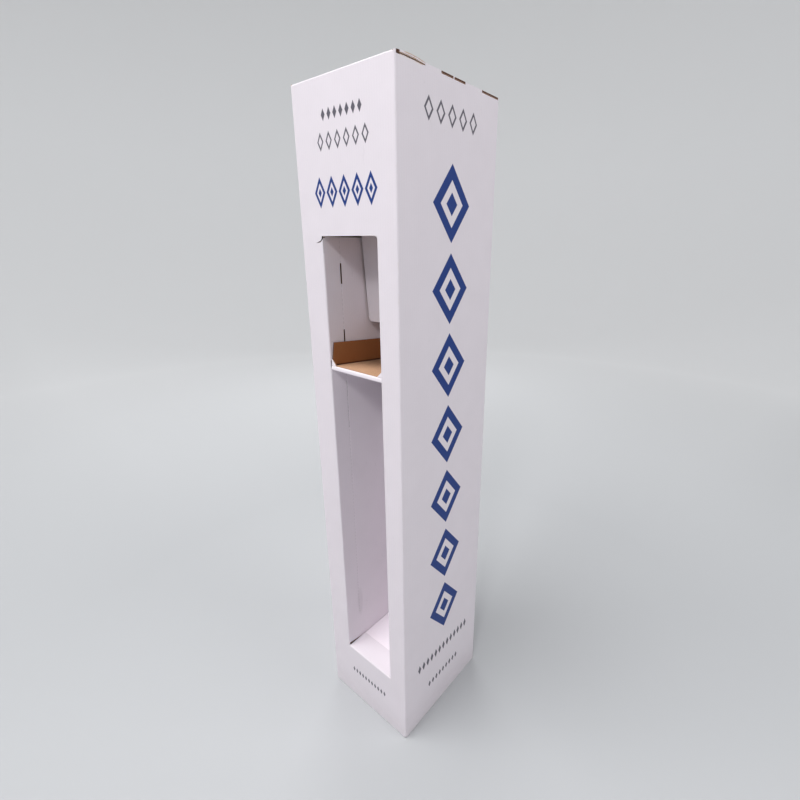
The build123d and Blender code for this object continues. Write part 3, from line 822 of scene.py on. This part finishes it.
class STAND_OT_stage(bpy.types.Operator):
    """Add the pale floor with its curved backdrop, the soft lights and the camera"""

    bl_idname = "stand.stage"
    bl_label = "Floor, light and camera"

    def execute(self, context):
        stage = context.scene.stand_stage
        self.backdrop(stage)

        world = bpy.data.worlds.new("studio")
        world.use_nodes = True
        sky = world.node_tree.nodes["Background"]
        sky.inputs["Color"].default_value = (1.0, 0.97, 1.0, 1.0)
        sky.inputs["Strength"].default_value = stage.room
        context.scene.world = world

        for name, place, target, size in LAMPS:
            self.lamp(name, place, target, size, getattr(stage, name))
        self.camera(context.scene)
        context.scene.view_settings.view_transform = "Standard"
        return {"FINISHED"}

    def camera(self, scene):
        """Camera at the photograph's viewpoint, with its focal length and off-centre frame."""
        forward = Vector(FORWARD).normalized()
        right = Vector(RIGHT)
        right = (right - forward * right.dot(forward)).normalized()
        up = right.cross(forward)
        lens = bpy.data.cameras.new("photo_view")
        lens.sensor_width = SENSOR
        lens.lens = FOCAL / PICTURE * SENSOR
        lens.shift_x = -(CENTRE[0] - PICTURE / 2) / PICTURE
        lens.shift_y = (CENTRE[1] - PICTURE / 2) / PICTURE
        lens.clip_start = 0.01
        camera = bpy.data.objects.new("photo_view", lens)
        turn = Matrix((right, up, -forward)).transposed().to_4x4()
        camera.matrix_world = Matrix.Translation(EYE) @ turn
        scene.collection.objects.link(camera)
        scene.camera = camera

    def backdrop(self, stage):
        """Round floor that curves up all round into a pale wall, so no edge shows behind."""
        bpy.ops.object.select_all(action="DESELECT")
        bpy.ops.mesh.primitive_circle_add(vertices=96, radius=FLOOR_RADIUS, fill_type="NGON")
        bowl = bpy.context.object
        bowl.name = "floor"
        bpy.ops.object.mode_set(mode="EDIT")
        bpy.ops.mesh.select_all(action="SELECT")
        bpy.ops.mesh.region_to_loop()
        reach, lift = FLOOR_RADIUS, 0.0
        steps = []
        for i in range(1, 13):
            angle = math.radians(7.5 * i)
            radius = FLOOR_RADIUS + FLOOR_CURVE * math.sin(angle)
            steps.append((radius, FLOOR_CURVE - FLOOR_CURVE * math.cos(angle)))
        steps.append((FLOOR_RADIUS + FLOOR_CURVE, WALL_TOP))
        for radius, rise in steps:
            bpy.ops.mesh.extrude_edges_move(TRANSFORM_OT_translate={"value": (0.0, 0.0, rise - lift)})
            grow = radius / reach
            bpy.ops.transform.resize(value=(grow, grow, 1.0))
            reach, lift = radius, rise
        bpy.ops.mesh.select_all(action="SELECT")
        bpy.ops.mesh.normals_make_consistent(inside=True)
        bpy.ops.object.mode_set(mode="OBJECT")
        bpy.ops.object.shade_smooth()

        # Far from the lamps the paint gives a little light of its own, so it stays pale
        paint = Finish("pale_floor", bowl.name)
        away = paint.x * BEHIND[0] + paint.y * BEHIND[1]
        reach = (paint.x ** 2.0 + paint.y ** 2.0) ** 0.5
        far = ((reach - 1.2) / 3.3).clamped()
        behind = ((away / reach - 0.10) / 0.54).clamped()
        glow = far * (0.25 + behind * 0.75)
        grain = paint.noise(0.9, 2.0, 0.5, seed=2.6)
        paint.put(paint.shader.inputs["Base Color"], paint.shade(tuple(stage.floor), 0.99 + grain * 0.02))
        paint.put(paint.shader.inputs["Emission Color"], paint.shade((1.0, 1.0, 1.0), glow * stage.glow))
        paint.shader.inputs["Emission Strength"].default_value = 1.0
        paint.shader.inputs["Roughness"].default_value = 0.8

    def lamp(self, name, place, target, size, energy):
        """One soft square light that faces a point."""
        lamp = bpy.data.lights.new(name, "AREA")
        lamp.size = size
        lamp.energy = energy
        holder = bpy.data.objects.new(name, lamp)
        way = Vector(target) - Vector(place)
        turn = way.to_track_quat("-Z", "Y").to_matrix().to_4x4()
        holder.matrix_world = Matrix.Translation(place) @ turn
        bpy.context.scene.collection.objects.link(holder)


class STAND_PT_panel(bpy.types.Panel):
    """Colours, sizes and steps of the stand"""

    bl_label = "Display Stand"
    bl_idname = "STAND_PT_panel"
    bl_space_type = "VIEW_3D"
    bl_region_type = "UI"
    bl_category = "Display Stand"

    def draw(self, context):
        for group in (context.scene.stand_paper, context.scene.stand_print, context.scene.stand_stage):
            for name in group.bl_rna.properties.keys():
                if name not in ("rna_type", "name"):
                    self.layout.prop(group, name)
        for step in STEPS:
            self.layout.operator(step.bl_idname)


STEPS = (
    STAND_OT_column,
    STAND_OT_liner,
    STAND_OT_plinth,
    STAND_OT_tray,
    STAND_OT_hanging,
    STAND_OT_torn_edge,
    STAND_OT_stage,
)
CLASSES = (StandPaper, StandPrint, StandStage, *STEPS, STAND_PT_panel)


def register():
    for kind in CLASSES:
        bpy.utils.register_class(kind)
    scene = bpy.types.Scene
    scene.stand_paper = bpy.props.PointerProperty(type=StandPaper)
    scene.stand_print = bpy.props.PointerProperty(type=StandPrint)
    scene.stand_stage = bpy.props.PointerProperty(type=StandStage)


def unregister():
    del bpy.types.Scene.stand_stage
    del bpy.types.Scene.stand_print
    del bpy.types.Scene.stand_paper
    for kind in reversed(CLASSES):
        bpy.utils.unregister_class(kind)


def main():
    register()
    bpy.ops.stand.column()
    bpy.ops.stand.liner()
    bpy.ops.stand.plinth()
    bpy.ops.stand.tray()
    bpy.ops.stand.hanging()
    bpy.ops.stand.torn_edge()
    bpy.ops.stand.stage()


if __name__ == "__main__":
    main()
